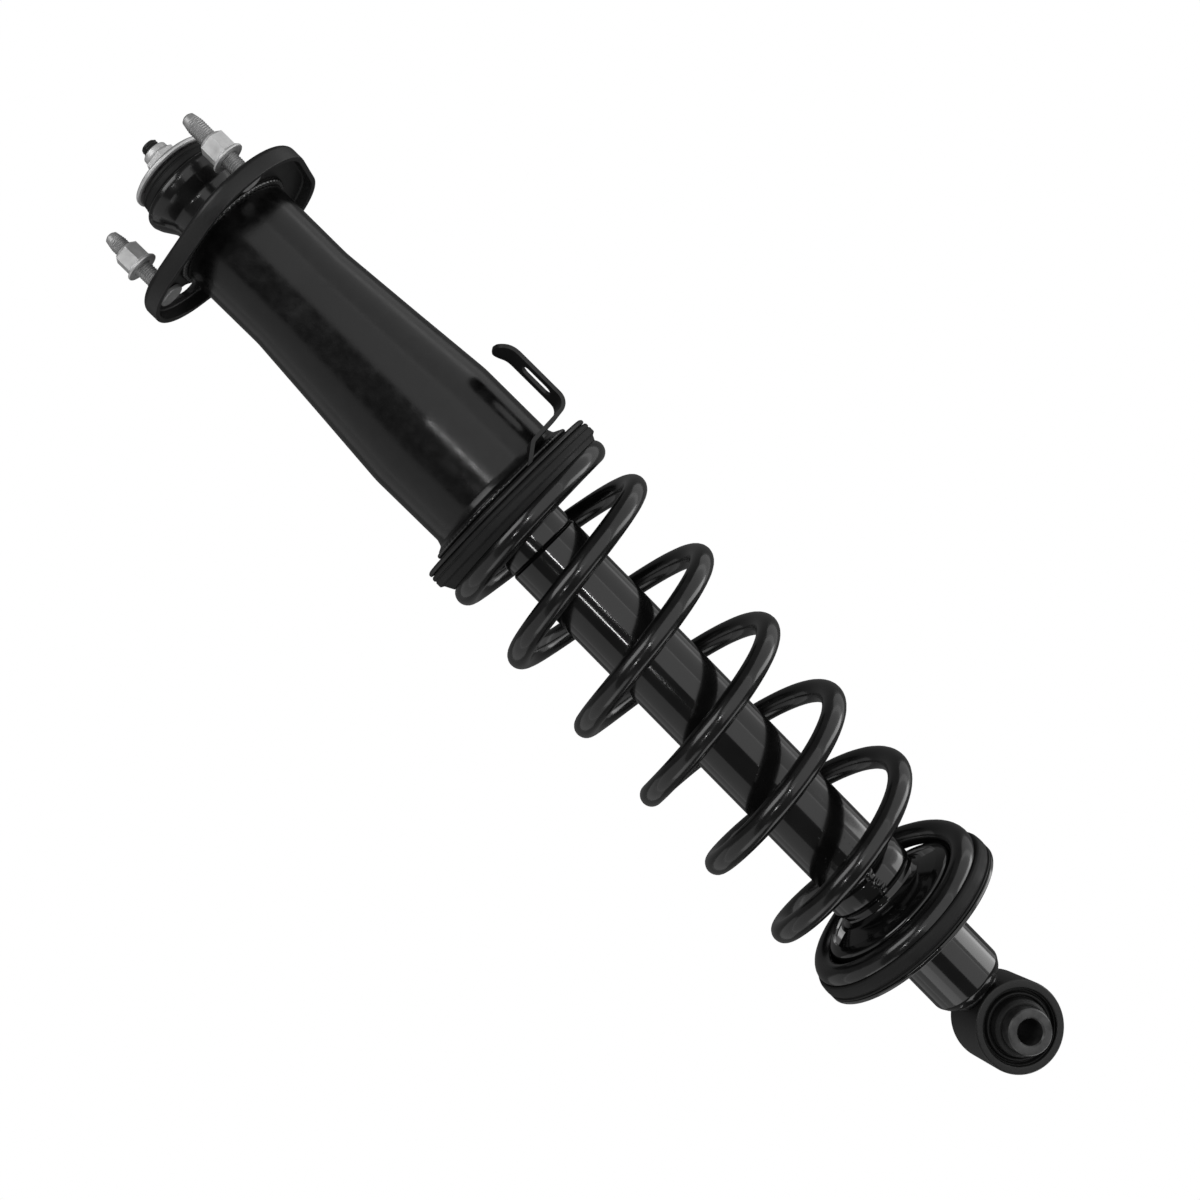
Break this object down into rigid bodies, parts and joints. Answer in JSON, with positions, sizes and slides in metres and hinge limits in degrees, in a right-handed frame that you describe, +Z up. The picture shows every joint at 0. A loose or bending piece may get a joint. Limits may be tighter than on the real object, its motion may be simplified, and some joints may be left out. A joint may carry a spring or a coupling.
{
  "type": "coil-over strut assembly",
  "caption": "Coil-over strut with a studded rubber top mount on a tapered tower tube, a coil spring between two seats and a damper ending in a bushed lower eye.",
  "frame": {"origin": "on the tower tube's axis, at the upper face of the mount flange, which lies against the car body", "axes": "+Z up along the tower tube's axis, out of the studs' ends; Y along the bolt axis of the lower eye; the line bracket points to +X"},
  "size_m": [0.131, 0.123, 0.6998],
  "materials": {
    "gloss_black_paint": "gloss",
    "satin_black_paint": "satin",
    "zinc_plate": "satin",
    "dull_steel": "matte",
    "dark_steel": "satin",
    "hard_chrome": "polished",
    "black_rubber": "matte",
    "urethane_foam": "matte",
    "sintered_iron": "matte",
    "ptfe_band": "matte"
  },
  "bodies": {
    "tower": {"mount_flange": "satin_black_paint", "mount_cup": "gloss_black_paint", "mount_stud_1": "dull_steel", "mount_stud_2": "dull_steel", "mount_stud_3": "dull_steel", "mount_nut_1": "zinc_plate", "mount_nut_2": "zinc_plate", "mount_nut_3": "zinc_plate", "upper_bushing": "black_rubber", "lower_bushing": "black_rubber", "upper_washer": "zinc_plate", "lower_washer": "dull_steel", "spacer_sleeve": "dull_steel", "rod_nut": "zinc_plate", "tower_tube": "gloss_black_paint", "upper_spring_seat": "satin_black_paint", "upper_isolator": "black_rubber", "line_bracket": "satin_black_paint", "coil_spring": "gloss_black_paint", "piston_rod": "hard_chrome", "bump_stop": "urethane_foam", "rebound_stop": "black_rubber", "rebound_retainer": "dark_steel", "piston": "sintered_iron", "piston_band": "ptfe_band", "piston_nut": "dull_steel"},
    "damper": {"damper_tube": "gloss_black_paint", "striker_cap": "satin_black_paint", "rod_guide": "sintered_iron", "rod_seal": "black_rubber", "pressure_tube": "dull_steel", "base_valve": "sintered_iron", "seat_collar": "gloss_black_paint", "lower_spring_seat": "gloss_black_paint", "lower_isolator": "black_rubber", "eye_weld": "satin_black_paint", "eye_ring": "satin_black_paint", "eye_rubber": "black_rubber"},
    "eye_sleeve": {"eye_sleeve": "dark_steel"}
  },
  "joints": [
    {"name": "damper_slide", "type": "slide", "parent": "tower", "child": "damper", "axis": [0.0195, 0, 0.9998], "range_m": [0, 0.15], "stiffness_N_per_m": 37000, "springref_m": -0.03, "deforming": ["coil_spring"]},
    {"name": "lower_bush_twist", "type": "hinge", "parent": "damper", "child": "eye_sleeve", "pos_m": [-0.01255, 0, -0.61468], "axis": [0, -1, 0], "range_deg": [-15, 15], "stiffness_Nm_per_rad": 30}
  ]
}
